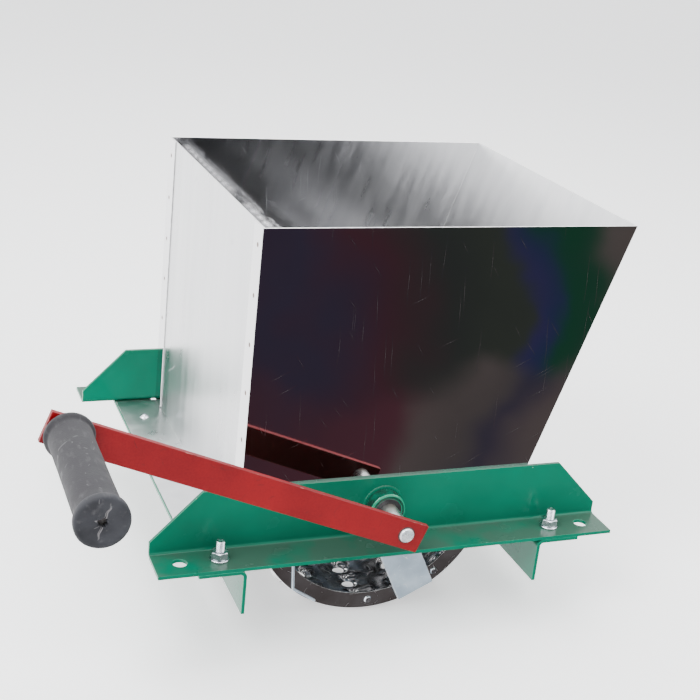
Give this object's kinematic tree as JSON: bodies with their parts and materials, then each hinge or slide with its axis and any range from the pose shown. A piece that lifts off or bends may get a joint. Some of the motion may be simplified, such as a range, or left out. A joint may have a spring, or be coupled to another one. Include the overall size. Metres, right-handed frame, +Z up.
{
  "type": "hand-cranked fruit mill",
  "caption": "Hand-cranked apple mill: a flared sheet-metal hopper over a toothed drum, in a bolted steel frame, with a crank and a turning grip.",
  "frame": {"origin": "centre of the four frame holes, in the plane of the crossbars' underside", "axes": "+X along the crossbars, away from the crank's rest side; +Y from the crank to the back; +Z up, along the frame holes"},
  "size_m": [0.5057, 0.5295, 0.3565],
  "materials": {
    "green_paint": "gloss green paint over bent steel, thin and bright at the edges",
    "stainless_sheet": "bright rolled stainless sheet, fine scratches",
    "drum_sheet": "bright stainless sheet with punched teeth",
    "zinc_plate": "bluish bright zinc plating",
    "bare_steel": "ground bare steel",
    "bush_plastic": "black self-lubricating plastic",
    "red_paint": "satin red paint, worn on its edges",
    "grip_rubber": "dusty grey rubber, darker at the cap"
  },
  "bodies": {
    "frame": {"back_crossbar": "green_paint", "front_crossbar": "green_paint", "right_rail": "green_paint", "left_rail": "green_paint", "back_bearing_housing": "green_paint", "front_bearing_housing": "green_paint", "back_bush": "bush_plastic", "front_bush": "bush_plastic", "frame_bolts": "zinc_plate", "frame_washers": "zinc_plate", "frame_nuts": "zinc_plate", "hopper_left_wall": "stainless_sheet", "hopper_right_wall": "stainless_sheet", "hopper_back_panel": "stainless_sheet", "hopper_front_panel": "stainless_sheet", "hopper_screws": "zinc_plate", "hopper_screw_nuts": "zinc_plate"},
    "rotor": {"drive_shaft": "bare_steel", "thrust_washer": "zinc_plate", "retaining_ring": "bare_steel", "back_hub": "zinc_plate", "front_hub": "zinc_plate", "hub_pins": "bare_steel", "back_spokes": "zinc_plate", "front_spokes": "zinc_plate", "back_end_ring": "drum_sheet", "front_end_ring": "drum_sheet", "drum_rivets": "bare_steel", "drum_shell": "drum_sheet", "drum_rims": "drum_sheet", "drum_ties": "zinc_plate", "crank_arm": "red_paint", "handle_spindle": "bare_steel", "handle_nut": "zinc_plate", "handle_washer": "zinc_plate", "handle_end_washer": "zinc_plate"},
    "grip": {"grip_sleeve": "zinc_plate", "rubber_grip": "grip_rubber"}
  },
  "joints": [
    {"name": "crank_spin", "type": "hinge", "parent": "frame", "child": "rotor", "pos_m": [-0.005, 0, 0.03], "axis": [0, 1, 0], "continuous": true},
    {"name": "grip_spin", "type": "hinge", "parent": "rotor", "child": "grip", "pos_m": [-0.27983, -0.27, 0.13992], "axis": [0, 1, 0], "continuous": true}
  ]
}
